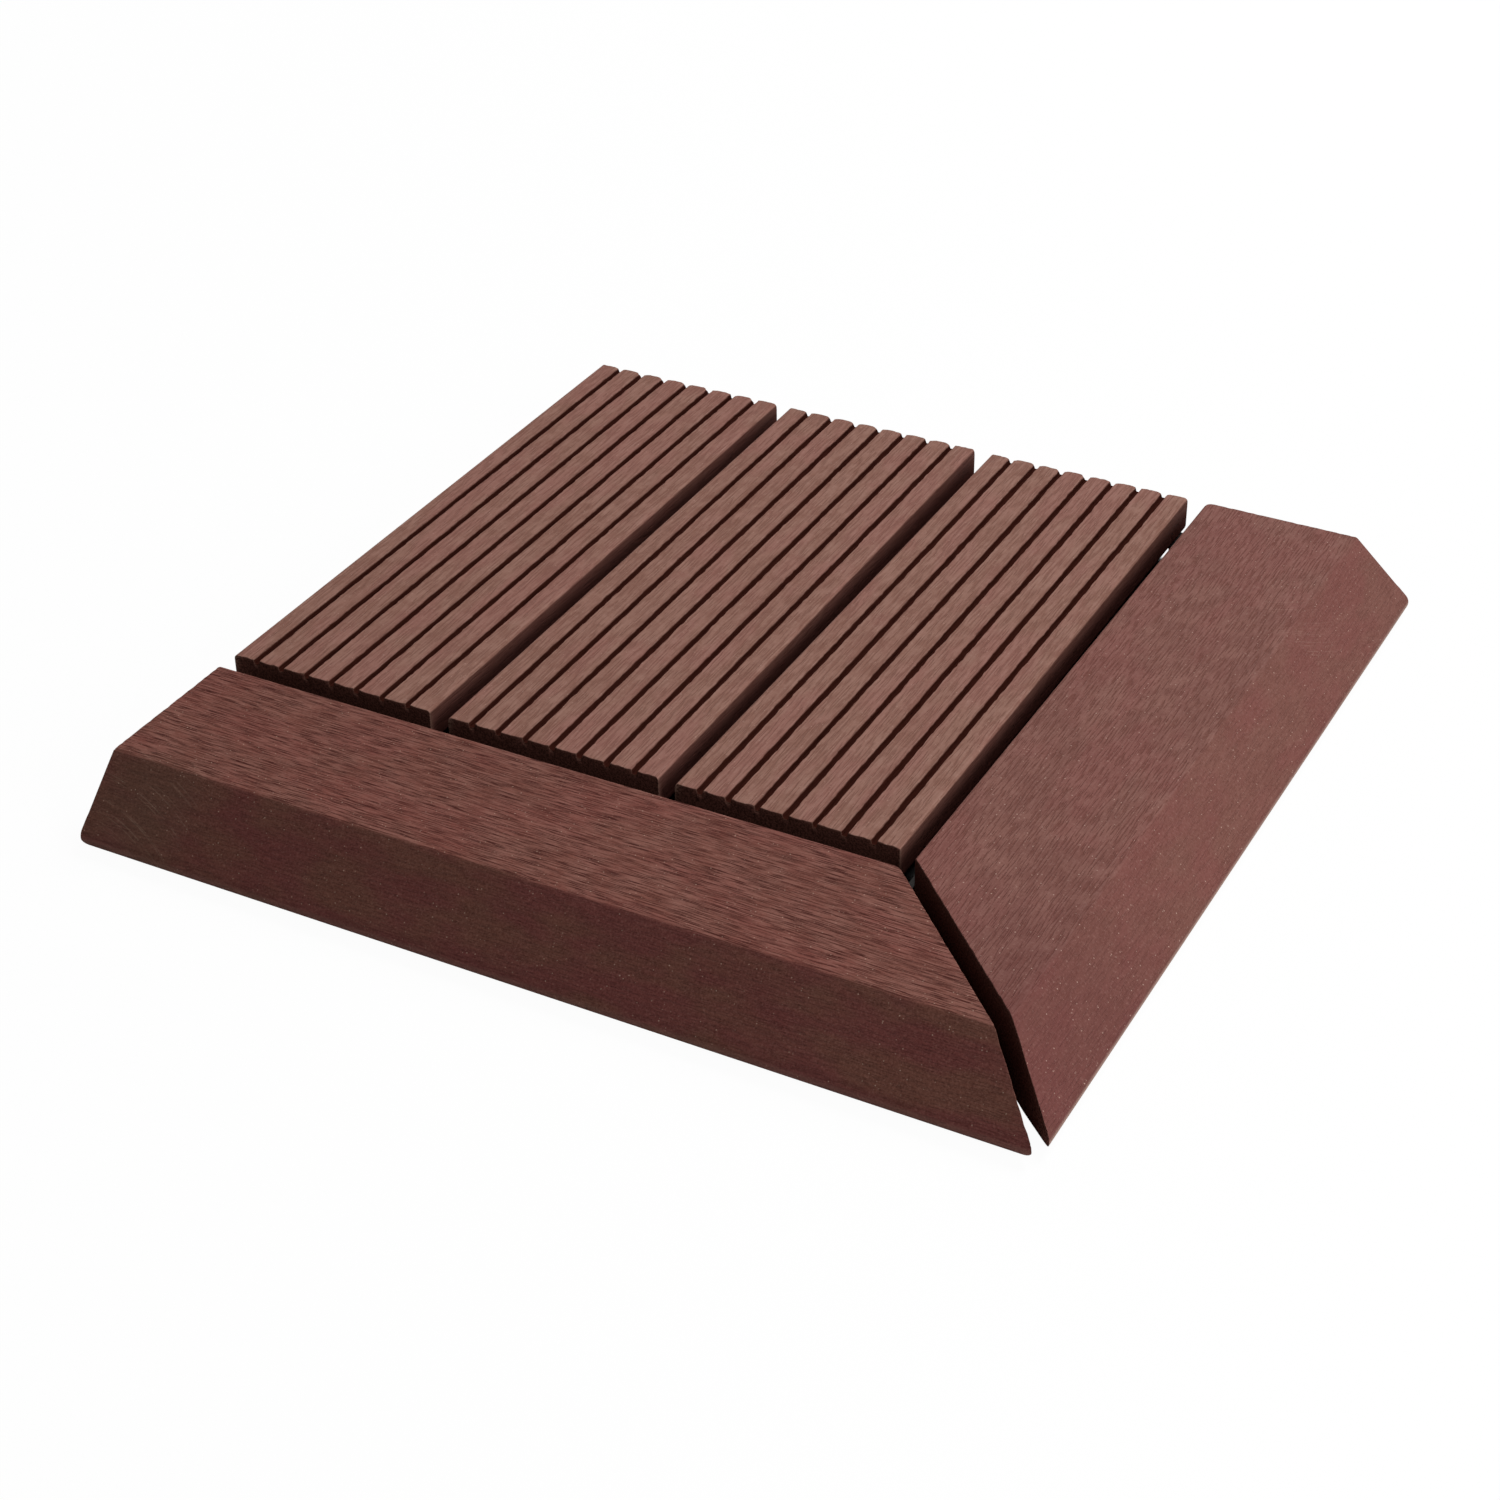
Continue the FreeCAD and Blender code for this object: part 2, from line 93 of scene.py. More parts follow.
def ease(tree, value, low, high, bottom=0.0, top=1.0):
    """A soft step: bottom where the value is under low, top where it is over high."""
    made = add_node(
        tree, "MapRange", {"interpolation_type": "SMOOTHSTEP"},
        Value=value, From_Min=low, From_Max=high, To_Min=bottom, To_Max=top,
    )
    return made.outputs["Result"]


def tint(tree, share, below, above):
    """One colour turning into another by a share from 0 to 1."""
    made = add_node(tree, "Mix", {"data_type": "RGBA"})
    for name, value in (("Factor", share), ("A", below), ("B", above)):
        socket = [item for item in made.inputs if item.name == name and item.enabled][0]
        plug(tree, socket, (*value, 1) if isinstance(value, tuple) else value)
    return [item for item in made.outputs if item.enabled][0]


def emptied_tree(owner):
    """The node tree of a material or world, with nothing in it."""
    owner.use_nodes = True
    owner.node_tree.nodes.clear()
    return owner.node_tree


def new_material(name):
    """A material, its node tree, its main shader and its places on the object in millimetres."""
    material = bpy.data.materials.new(name)
    tree = emptied_tree(material)
    shader = add_node(tree, "BsdfPrincipled")
    add_node(tree, "OutputMaterial", Surface=shader.outputs["BSDF"])
    source = add_node(tree, "TexCoord").outputs["Object"]
    place = add_node(tree, "Mapping", Vector=source, Scale=(1 / MM, 1 / MM, 1 / MM)).outputs["Vector"]
    return material, tree, shader, place


def faces_up(tree):
    """1 on what faces up, 0 on an upright wall and -1 on what faces down."""
    normal = add_node(tree, "NewGeometry").outputs["Normal"]
    return add_node(tree, "SeparateXYZ", Vector=normal).outputs["Z"]


def make_bump(tree, height, depth):
    """A normal that stands for relief of the given depth in millimetres."""
    return add_node(tree, "Bump", Height=height, Strength=1.0, Distance=depth * MM).outputs["Normal"]


def moulded_black():
    """Satin black with a fine moulded skin and a little pale dust on what faces up."""
    material, tree, shader, place = new_material("moulded_black")
    grain = noise(tree, place, PLASTIC_GRAIN_SCALE, 4)
    patches = noise(tree, place, DUST_SCALE, 4)
    dust = ease(tree, patches, 0.3, 0.7, 0.1, 0.5)
    dust = calculate(tree, "MULTIPLY", ease(tree, faces_up(tree), 0.4, 1.0), dust)
    feed(
        tree, shader,
        Base_Color=tint(tree, dust, PLASTIC_BLACK, PALE_DUST),
        Roughness=ease(tree, grain, 0.3, 0.7, 0.55, 0.7),
        Specular_IOR_Level=PLASTIC_SPECULAR,
        Normal=make_bump(tree, grain, PLASTIC_GRAIN_DEPTH),
    )
    return material


def dress(node, material):
    """Gives a CAD solid that stays in sight a better material."""
    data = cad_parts[node].data
    for place in range(len(data.materials)):
        data.materials[place] = material


dress("base_grid", moulded_black())

# Screws
# Zinc-plated steel screws with a domed head, a cross recess and a coarse thread. Two hold each slat and
# three hold each edge board, driven up from below through the bosses of the base.
SCREW_SEAT = 7.0
SCREW_TIP = 19.5
HEAD_RADIUS = 3.4
HEAD_RIM = 0.8
HEAD_CROWN = 2.0
SHANK_RADIUS = 1.75
THREAD_CORE = 1.25
THREAD_PITCH = 1.3
POINT_LENGTH = 2.6
POINT_RADIUS = 0.02
POINT_POWER = 0.7
RECESS_LENGTH = 2.0
RECESS_WIDTH = 0.42
RECESS_DEPTH = 1.3
RECESS_SIDE_EDGE = 0.2
RECESS_END_EDGE = 0.3
TURN_STEPS = 72
DOME_STEPS = 26
THREAD_STEPS = 110
SCREW_CREASE = np.radians(35)
ZINC_DULL = (0.42, 0.43, 0.45)
ZINC_BRIGHT = (0.62, 0.63, 0.64)
ZINC_MARK_DEPTH = 0.02


def soft_edge(distance, width):
    """1 inside, 0 outside, and 3t^2 - 2t^3 across an edge of the given width."""
    t = np.clip(0.5 - distance / width, 0, 1)
    return t * t * (3 - 2 * t)


def recess_slot(across, along):
    """1 inside one slot of a screw's cross recess, and 0 outside it."""
    inside_width = soft_edge(np.abs(across) - RECESS_WIDTH, RECESS_SIDE_EDGE)
    return inside_width * soft_edge(np.abs(along) - RECESS_LENGTH, RECESS_END_EDGE)


def screw_surface():
    """A screw about its own axis, as height and radius over an angle and a path.

    The path runs from the middle of the head over its dome, back under the rim and up the shank to the point.
    The dome falls back as the cube of its radius. The recess is two crossed slots, deeper towards the
    middle. The thread is a triangle wave of height over pitch less the turn's share, which rises to the
    shank's radius and tapers with the point.
    """
    angle = np.linspace(0, 2 * np.pi, TURN_STEPS, endpoint=False)[:, None]
    dome_radius = np.linspace(POINT_RADIUS, HEAD_RADIUS, DOME_STEPS)[None, :]
    x, y = dome_radius * np.cos(angle), dome_radius * np.sin(angle)
    dome = SCREW_SEAT - HEAD_CROWN + (HEAD_CROWN - HEAD_RIM) * (dome_radius / HEAD_RADIUS) ** 3
    slots = np.maximum(recess_slot(x, y), recess_slot(y, x))
    dome = dome + slots * RECESS_DEPTH * (1 - 0.5 * dome_radius / RECESS_LENGTH)
    height = np.linspace(SCREW_SEAT, SCREW_TIP, THREAD_STEPS)[None, :]
    phase = (height / THREAD_PITCH - angle / (2 * np.pi)) % 1.0
    ridge = np.clip(1 - np.abs(phase - 0.5) * 4, 0, 1)
    taper = np.clip((SCREW_TIP - height) / POINT_LENGTH, 0, 1) ** POINT_POWER
    thread = (THREAD_CORE + (SHANK_RADIUS - THREAD_CORE) * ridge) * taper + POINT_RADIUS
    rim_height = np.array([SCREW_SEAT - HEAD_RIM / 2, SCREW_SEAT, SCREW_SEAT])[None, :]
    rim_radius = np.array([HEAD_RADIUS, HEAD_RADIUS, THREAD_CORE])[None, :]
    ones = np.ones_like(angle)
    heights = np.concatenate([dome, rim_height * ones, height * ones], 1)
    radii = np.concatenate([dome_radius * ones, rim_radius * ones, thread], 1)
    return np.stack([radii * np.cos(angle), radii * np.sin(angle), heights], -1)


def screw_group(name, node, centres):
    """Copies of one screw surface at the given places, closed at the middle of the head and at the tip."""
    surface = screw_surface()
    turns, path = surface.shape[:2]
    shift = np.array([[x, y, 0] for x, y in centres])
    places = (surface.reshape(1, -1, 3) + shift[:, None]).reshape(-1, 3)
    turn, step = np.meshgrid(np.arange(turns), np.arange(path - 1), indexing="ij")
    here = turn * path + step
    ahead = (turn + 1) % turns * path + step
    quads = np.stack([here, here + 1, ahead + 1, ahead], -1).reshape(-1, 4)
    faces = []
    for number in range(len(centres)):
        head = number * turns * path + np.arange(turns) * path
        faces += (quads + head[0]).tolist()
        faces.append(head[::-1].tolist())
        faces.append((head + path - 1).tolist())
    mesh = bpy.data.meshes.new(name)
    mesh.from_pydata((places * MM).tolist(), [], faces)
    tidy_mesh(mesh, SCREW_CREASE)
    return add_piece(name, mesh, node)


def tidy_mesh(mesh, crease):
    """Turns all faces outwards, shades the mesh smooth and keeps edges sharper than the crease angle."""
    work = bmesh.new()
    work.from_mesh(mesh)
    bmesh.ops.recalc_face_normals(work, faces=work.faces)
    work.to_mesh(mesh)
    work.free()
    mesh.shade_smooth()
    mesh.set_sharp_from_angle(angle=crease)


def add_piece(name, mesh, node):
    """Puts a mesh in the scene in place of its CAD solid."""
    piece = bpy.data.objects.new(name, mesh)
    bpy.context.scene.collection.objects.link(piece)
    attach(piece, "root")
    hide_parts(node)
    return piece


def zinc_plate():
    """Pale metal with fine turning marks and slightly duller patches."""
    material, tree, shader, place = new_material("zinc_plate")
    patches = noise(tree, place, 0.6, 5)
    feed(
        tree, shader,
        Base_Color=tint(tree, ease(tree, patches, 0.35, 0.65), ZINC_DULL, ZINC_BRIGHT),
        Metallic=1.0,
        Roughness=ease(tree, patches, 0.3, 0.7, 0.24, 0.42),
        Normal=make_bump(tree, noise(tree, place, 5.0, 3), ZINC_MARK_DEPTH),
    )
    return material


def solid_corners(node):
    """The lowest and highest corner of a CAD solid's box in millimetres."""
    low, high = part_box(node)
    return np.array(low) / MM, np.array(high) / MM


def screw_places(node, columns, rows):
    """An even grid of screw centres, each a head's radius inside the box of the CAD solids."""
    low, high = solid_corners(node)
    x = np.linspace(low[0] + HEAD_RADIUS, high[0] - HEAD_RADIUS, columns)
    y = np.linspace(low[1] + HEAD_RADIUS, high[1] - HEAD_RADIUS, rows)
    return [(column, row) for column in x for row in y]


steel = zinc_plate()
for name, node, columns, rows in (
    ("slat_screw_set", "slat_screws", 3, 2),
    ("front_screw_set", "front_board_screws", 3, 1),
    ("right_screw_set", "right_board_screws", 1, 3),
):
    screw_group(name, node, screw_places(node, columns, rows)).data.materials.append(steel)

# Slats
# Three extruded boards of wood-plastic composite. Seven grooves run down each top, the ribs between them are
# brushed pale, and both ends are sawn square and left ragged. Each lies at a slightly different slant.
SLAT_WIDTH = 70.5
SLAT_LENGTH = 222.5
SLAT_BOTTOM = 10.0
SLAT_TOP = 23.0
SLAT_TOP_ROUND = 1.2
SLAT_BOTTOM_ROUND = 3.0
GROOVE_COUNT = 7
GROOVE_PITCH = 9.1
GROOVE_MOUTH = 2.3
GROOVE_FLOOR = 1.2
GROOVE_DEPTH = 1.5
SLAT_SKEWS = {"slat_left": 0.1, "slat_middle": 0.45, "slat_right": 0.25}
SLAT_ROWS = 12
ROW_GROWTH = 1.7
SWEEP_STEP = 1.3
END_STEPS = np.array([0, 0.05, 0.12, 0.22, 0.36, 0.6, 1.0])
BOARD_CREASE = np.radians(50)
TOUCH = 1e-6

# The wear of a groove's edges, in millimetres: how deep it goes and the length of its waves
WANDER = 0.05
WANDER_LENGTH = 14.0
NICKS = 0.07
NICK_LENGTH = 1.9
LIP_REACH = 0.5

# The wear of the saw cuts at the front and the back
END_ROUNDS = (0.15, 0.5)
RIB_CORNERS = (0.3, 1.2)
RIB_CORNER_REACH = 0.8
RAGGED = 0.17
RAGGED_LENGTH = 1.1
RAGGED_DEPTH = 0.9
CUT_REACH = 1.5
NUB = 0.6
NUB_DEPTH = 0.8
NUB_REACH = 0.7

# How far pale torn fibres reach from a cut, and a painted highlight from a front corner along the slat and
# down it
FRINGE_REACH = 0.4
CORNER_REACH = 2.5
CORNER_DROP = 9.0
CUT_LINE = 0.3


def knot_noise(rng, group, along, scale, length):
    """Wandering values of about unit size, one row of random knots to a group.

    A value is the blend of the two knots on either side of along / scale, by 3t^2 - 2t^3. The knots are drawn
    from Student's t with 4 degrees of freedom, which gives a few large ones, and held within 3.
    """
    knots = np.clip(rng.standard_t(4, size=(group.max() + 1, int(length / scale) + 3)), -3, 3)
    place = np.clip(along / scale, 0, knots.shape[1] - 2)
    below = np.floor(place).astype(int)
    t = place - below
    share = t * t * (3 - 2 * t)
    return knots[group, below] * (1 - share) + knots[group, below + 1] * share


def bell(distance, reach):
    """1 at no distance, falling away as exp(-(distance / reach)^2)."""
    return np.exp(-((distance / reach) ** 2))


def quarter_fall(distance, radius):
    """How far a quarter circle of the given radius lies below its top, at a distance from its lower end."""
    turn = np.clip(1 - distance / radius, 0, 1)
    return radius * (1 - np.sqrt(1 - turn**2))


def end_stations(length):
    """Places along a sweep as shares of its length: an even step, and closer together at both ends."""
    middle = np.linspace(END_STEPS[-1], length - END_STEPS[-1], int(length / SWEEP_STEP))
    return np.concatenate([END_STEPS[:-1], middle, (length - END_STEPS[:-1])[::-1]]) / length


def block_mesh(name, top, bottom, rows, stations, carry):
    """A closed solid swept along a length, with each vertex's column and place in the section, and its t.

    The section is a grid whose column i runs from top[i] down to bottom[i], in steps that grow as a power of
    their number. Its rim is carried along all the stations, and the whole grid closes both ends.
    carry(column, across, height, t) gives the places of section points at t, from 0 at one end to 1 at the
    other.
    """
    share = np.linspace(0, 1, rows + 1)[None, :, None] ** ROW_GROWTH
    section = (top[:, None] * (1 - share) + bottom[:, None] * share).reshape(-1, 2)
    index = np.arange(len(section)).reshape(len(top), rows + 1)
    rim = np.concatenate([index[:, 0], index[-1, 1:-1], index[::-1, rows], index[0, rows - 1:0:-1]])
    inner = index[1:-1, 1:-1].ravel()
    count, last = len(rim), len(stations) - 1
    picked = np.concatenate([np.tile(rim, last + 1), inner, inner])
    t = np.concatenate([np.repeat(stations, count), np.zeros(len(inner)), np.ones(len(inner))])
    column = picked // (rows + 1)
    across, height = section[picked].T
    places = carry(column, across, height, t)

    start, finish = np.empty(len(section), int), np.empty(len(section), int)
    start[rim], finish[rim] = np.arange(count), last * count + np.arange(count)
    start[inner] = (last + 1) * count + np.arange(len(inner))
    finish[inner] = start[inner] + len(inner)
    step = (np.arange(last) * count)[:, None]
    here, ahead = np.arange(count)[None, :], np.roll(np.arange(count), -1)[None, :]
    walls = np.stack([step + here, step + ahead, step + count + ahead, step + count + here], -1)
    cells = np.stack([index[:-1, :-1], index[:-1, 1:], index[1:, 1:], index[1:, :-1]], -1).reshape(-1, 4)
    faces = np.concatenate([walls.reshape(-1, 4), start[cells], finish[cells[:, ::-1]]])
    mesh = bpy.data.meshes.new(name)
    mesh.from_pydata((places * MM).tolist(), [], faces.tolist())
    return mesh, column, across, height, t


def paint(mesh, name, values):
    """Stores one number for each vertex, for the material to read."""
    layer = mesh.attributes.new(name, "FLOAT", "POINT")
    layer.data.foreach_set("value", values.astype(np.float32))


def arc(centre, radius, start, end, steps):
    """Points on a circle between two angles in degrees."""
    angle = np.radians(np.linspace(start, end, steps))
    return np.stack([centre[0] + radius * np.cos(angle), centre[1] + radius * np.sin(angle)], -1)


def slat_section():
    """The slat's top and bottom curves, left to right, and the number of the nearest groove to each column,
    counted from the middle one.

    A groove's wall runs in from its lip to its floor while it falls by 3s^2 - 2s^3 of the groove's depth.
    """
    half = SLAT_WIDTH / 2
    shoulder = half - SLAT_TOP_ROUND
    s = np.linspace(0, 1, 6)
    run = GROOVE_MOUTH / 2 - (GROOVE_MOUTH - GROOVE_FLOOR) / 2 * s
    fall = SLAT_TOP - GROOVE_DEPTH * s * s * (3 - 2 * s)

    def rib(left, right):
        """Points on the flat top between two grooves, without its first and last."""
        flat = np.linspace(left, right, 9)[1:-1]
        return np.stack([flat, np.full(len(flat), SLAT_TOP)], -1)

    top = [arc((-shoulder, SLAT_TOP - SLAT_TOP_ROUND), SLAT_TOP_ROUND, 180, 90, 7)]
    for groove in range(GROOVE_COUNT):
        centre = (groove - (GROOVE_COUNT - 1) / 2) * GROOVE_PITCH
        top.append(rib(top[-1][-1, 0], centre - run[0]))
        top.append(np.stack([centre - run, fall], -1))
        top.append(np.stack([centre + run[::-1], fall[::-1]], -1))
    top.append(rib(top[-1][-1, 0], shoulder))
    top.append(arc((shoulder, SLAT_TOP - SLAT_TOP_ROUND), SLAT_TOP_ROUND, 90, 0, 7))
    top = np.concatenate(top)
    from_side = np.clip(half - np.abs(top[:, 0]), 0, SLAT_BOTTOM_ROUND)
    rise = SLAT_BOTTOM_ROUND - np.sqrt(SLAT_BOTTOM_ROUND**2 - (SLAT_BOTTOM_ROUND - from_side) ** 2)
    bottom = np.stack([top[:, 0], SLAT_BOTTOM + rise], -1)
    number = np.clip(np.round(top[:, 0] / GROOVE_PITCH), -(GROOVE_COUNT // 2), GROOVE_COUNT // 2)
    return top, bottom, number


def make_slat(node, seed):
    """A slat in its place.

    The edges of its grooves wander, with small nicks. The corners of the ribs are worn back by a bell curve
    about each groove's edge, the saw cuts are ragged, and a nub of torn fibres stands out under the end of
    each groove. Everything but the nubs dies away as exp(-distance / depth) below the top.
    """
    rng = np.random.default_rng(seed)
    top, bottom, number = slat_section()
    half = SLAT_WIDTH / 2
    offset = top[:, 0] - number * GROOVE_PITCH
    depth = SLAT_TOP - top[:, 1]
    groove = (number + GROOVE_COUNT // 2).astype(int)
    edge = 2 * groove + (offset > 0)
    from_edge = np.abs(offset) - GROOVE_MOUTH / 2
    near_edge = bell(from_edge, RIB_CORNER_REACH)
    in_groove = np.cos(np.pi / 2 * np.clip(offset / GROOVE_MOUTH * 2, -1, 1)) ** 2
    one_row = np.zeros(len(top), int)
    ragged, nubs = [], []
    for corner in RIB_CORNERS:
        tear = np.abs(knot_noise(rng, one_row, top[:, 0] - top[0, 0], RAGGED_LENGTH, SLAT_WIDTH))
        worn = near_edge * rng.uniform(0.4, 1.2, size=2 * GROOVE_COUNT)[edge]
        ragged.append(RAGGED * tear + corner * worn)
        nubs.append(NUB * in_groove * rng.uniform(0.2, 1.0, size=GROOVE_COUNT)[groove])
    low, high = solid_corners(node)
    centre = (low + high) / 2
    skew = np.radians(SLAT_SKEWS[node])

    def carry(column, across, height, t):
        along = t * SLAT_LENGTH
        from_back = SLAT_LENGTH - along
        under = np.clip(top[column, 1] - height, 0, None)
        skin = np.exp(-under / RAGGED_DEPTH)
        lip = bell(from_edge[column], LIP_REACH) * skin
        wander = knot_noise(rng, edge[column], along, WANDER_LENGTH, SLAT_LENGTH) * WANDER
        wander += knot_noise(rng, edge[column], along, NICK_LENGTH, SLAT_LENGTH) * NICKS
        turned = across + wander * lip
        for distance, radius in zip((along, from_back), END_ROUNDS):
            height = height - quarter_fall(distance, radius) * skin
        hang = bell(under - NUB_DEPTH, NUB_REACH)
        front = (ragged[0][column] * skin - nubs[0][column] * hang) * np.exp(-along / CUT_REACH)
        rear = (ragged[1][column] * skin - nubs[1][column] * hang) * np.exp(-from_back / CUT_REACH)
        along = along + front - rear - SLAT_LENGTH / 2
        x = centre[0] + turned * np.cos(skew) - along * np.sin(skew)
        y = centre[1] + turned * np.sin(skew) + along * np.cos(skew)
        return np.stack([x, y, height], -1)

    mesh, column, across, height, t = block_mesh(
        f"{node}_board", top, bottom, SLAT_ROWS, end_stations(SLAT_LENGTH), carry
    )
    tidy_mesh(mesh, BOARD_CREASE)
    under = top[column, 1] - height
    on_top = under < TOUCH
    from_end = np.minimum(t, 1 - t) * SLAT_LENGTH
    on_cut = from_end < TOUCH
    nub = in_groove[column] * bell(under - NUB_DEPTH, NUB_REACH) * (from_end < CUT_LINE)
    paint(mesh, "groove", depth[column] / GROOVE_DEPTH * on_top * (in_groove[column] > 0.001))
    paint(mesh, "sawn", on_cut * (1 - 0.7 * nub) * np.clip(under / CUT_LINE, 0, 1))
    # The front corners are painted paler, a painted highlight where a rounded corner would catch the light,
    # kept with the pale torn fibres
    from_left = np.exp(-(across + half) / CORNER_REACH) * np.exp(-under / CORNER_DROP)
    left_corner_highlight = 0.7 * from_left * on_cut * (t < 0.5)
    right_corner_highlight = 0.45 * (across > half - CUT_LINE) * np.exp(-t * SLAT_LENGTH / CORNER_REACH)
    top_fringe = 0.5 * np.exp(-from_end / FRINGE_REACH) * on_top * near_edge[column]
    paint(mesh, "fringe_and_highlight", np.maximum(top_fringe + 0.5 * nub, np.maximum(left_corner_highlight, right_corner_highlight)))
    return add_piece(f"{node}_board", mesh, node)


# The patterns of brushed composite, in waves to a millimetre: fibres drawn out along the grain, long bands,
# broad clouds, specks, sand and pale flecks
GRAIN_ALONG = 0.13
BAND_ALONG = 0.015
CLOUD_ACROSS = 0.07
CLOUD_ALONG = 0.028
SPECK_SCALE = 1.7
SAND_SCALE = 1.2
FLECK_SCALE = 0.8

# The composite's sheen, and the heights in millimetres between which the dark of a wall, its skin with
# painted shade, lets up
COMPOSITE_SPECULAR = 0.05
SIDE_SHADE_HEIGHTS = (14.0, 22.5)

SLAT_LOOK = {
    "mottle_scale": 0.16,
    "fineness": 2.2,
    "dark": (0.198, 0.096, 0.072),
    "light": (0.232, 0.12, 0.092),
    "red": (0.229, 0.101, 0.083),
    "redness": 0.6,
    "streak": (0.11, 0.04, 0.028),
    "streaks": 0.3,
    "bands": 0.25,
    "pale": (0.318, 0.195, 0.158),
    "shine": 0.15,
    "fibre": (0.5, 0.35, 0.28),
    "fibres": 0.35,
    "sand": 0.2,
    # skin: the dark of the walls, their unbrushed skin with painted shade
    "skin": (0.065, 0.022, 0.018),
    "cut": (0.095, 0.038, 0.029),
    "cut_dark": (0.042, 0.016, 0.012),
    # The colour of pale torn fibres, and of the painted highlights on the slats' front corners
    "fluff_and_highlight": (0.2, 0.12, 0.09),
    "relief": 0.12,
}
# The grooves' dark brown: their unbrushed skin, with painted shade for their depth
GROOVE_SKIN_AND_SHADE = (0.034, 0.009, 0.006)


def read_paint(tree, name):
    """The number that paint stored in the mesh, and 0 where there is none."""
    return add_node(tree, "Attribute", {"attribute_name": name}).outputs["Fac"]


def stretch(tree, place, across, along, direction):
    """Places scaled so that a pattern is drawn out along X or Y."""
    scale = (along, across, across) if direction == "X" else (across, along, across)
    return add_node(tree, "Mapping", Vector=place, Scale=scale).outputs["Vector"]


def composite_patterns(tree, place, direction, look):
    """The patterns that the layers of a composite share."""
    drawn = {
        "grain": (look["fineness"], GRAIN_ALONG, 1, 0.5),
        "bands": (1.0, BAND_ALONG, 2, 0.6),
        "clouds": (CLOUD_ACROSS, CLOUD_ALONG, 2, 0.6),
    }
    patterns = {
        name: noise(tree, stretch(tree, place, across, along, direction), 1.0, detail, roughness)
        for name, (across, along, detail, roughness) in drawn.items()
    }
    patterns["patches"] = noise(tree, place, look["mottle_scale"], 3, 0.6)
    patterns["specks"] = noise(tree, place, SPECK_SCALE, 2, 0.7)
    return patterns


def brushed_colour(tree, patterns, look, streak_share=1.0, pale_share=1.0):
    """Soft mottling and redder clouds under dark brushed streaks, long dark bands and a pale shine."""
    grain, patches = patterns["grain"], patterns["patches"]
    colour = tint(tree, ease(tree, patches, 0.36, 0.64), look["dark"], look["light"])
    redness = ease(tree, patterns["clouds"], 0.42, 0.64, 0.0, look["redness"])
    colour = tint(tree, redness, colour, look["red"])
    streaks = ease(tree, grain, 0.52, 0.62, 0.0, look["streaks"])
    streaks = calculate(tree, "MULTIPLY", streaks, ease(tree, patches, 0.32, 0.6, 0.6, 1.0))
    bands = ease(tree, patterns["bands"], 0.5, 0.68, 0.0, look["bands"])
    lines = calculate(tree, "MULTIPLY", calculate(tree, "MAXIMUM", streaks, bands), streak_share)
    colour = tint(tree, lines, colour, look["streak"])
    pale = calculate(tree, "MULTIPLY", ease(tree, grain, 0.34, 0.46, look["shine"], 0.0), pale_share)
    return tint(tree, pale, colour, look["pale"])


def scatter_flecks(tree, place, specks, colour, look):
    """A colour with pale fibres in some of the cells of a Voronoi pattern, dark specks, and sand of both."""
    cells = add_node(tree, "TexVoronoi", Vector=place, Scale=FLECK_SCALE)
    near = ease(tree, cells.outputs["Distance"], 0.08, 0.22, 1.0, 0.0)
    chosen = add_node(tree, "SeparateColor", Color=cells.outputs["Color"]).outputs["Red"]
    fibres = calculate(tree, "MULTIPLY", near, ease(tree, chosen, 0.6, 1.0, 0.0, look["fibres"]))
    sand = noise(tree, place, SAND_SCALE, 3, 0.75)
    colour = tint(tree, fibres, colour, look["fibre"])
    colour = tint(tree, ease(tree, specks, 0.68, 0.76, 0.0, 0.5), colour, look["streak"])
    colour = tint(tree, ease(tree, sand, 0.52, 0.72, 0.0, look["sand"]), colour, look["streak"])
    return tint(tree, ease(tree, sand, 0.3, 0.46, look["sand"], 0.0), colour, look["pale"])


def wall_skin_and_painted_shade(tree, place):
    """How far a place shows the dark side of an extrusion, its unbrushed skin with painted shade: not at all
    where it faces up, all of it on a wall low down, and three quarters near the top of the wall."""
    wall = ease(tree, faces_up(tree), 0.2, 0.6, 1.0, 0.0)
    height = add_node(tree, "SeparateXYZ", Vector=place).outputs["Z"]
    return calculate(tree, "MULTIPLY", wall, ease(tree, height, *SIDE_SHADE_HEIGHTS, 1.0, 0.75))


def saw_cuts(tree, specks, colour, look):
    """A colour with rough dark saw cuts, pale torn fibres on their edges and painted highlights on a slat's
    front corners, and the share of the cuts.
    """
    sawn = read_paint(tree, "sawn")
    rough = tint(tree, ease(tree, specks, 0.35, 0.65), look["cut_dark"], look["cut"])
    # Pale torn fibres, and the painted highlights on a slat's front corners
    fluff_and_highlight = ease(tree, read_paint(tree, "fringe_and_highlight"), 0.15, 0.7)
    fluff_and_highlight = calculate(tree, "MULTIPLY", fluff_and_highlight, ease(tree, specks, 0.35, 0.55))
    return tint(tree, fluff_and_highlight, tint(tree, sawn, colour, rough), look["fluff_and_highlight"]), sawn


def set_surface(tree, shader, patterns, colour, torn, look):
    """Gives the shader its colour, the relief and roughness of the grain, and no sheen where it is torn."""
    grain = patterns["grain"]
    specks = calculate(tree, "MULTIPLY", patterns["specks"], 0.5)
    relief = calculate(tree, "SUBTRACT", specks, ease(tree, grain, 0.5, 0.66))
    whole = calculate(tree, "SUBTRACT", 1.0, torn)
    feed(
        tree, shader,
        Base_Color=colour,
        Roughness=ease(tree, grain, 0.3, 0.7, 0.62, 0.8),
        Specular_IOR_Level=calculate(tree, "MULTIPLY", whole, COMPOSITE_SPECULAR),
        Normal=make_bump(tree, relief, look["relief"]),
    )


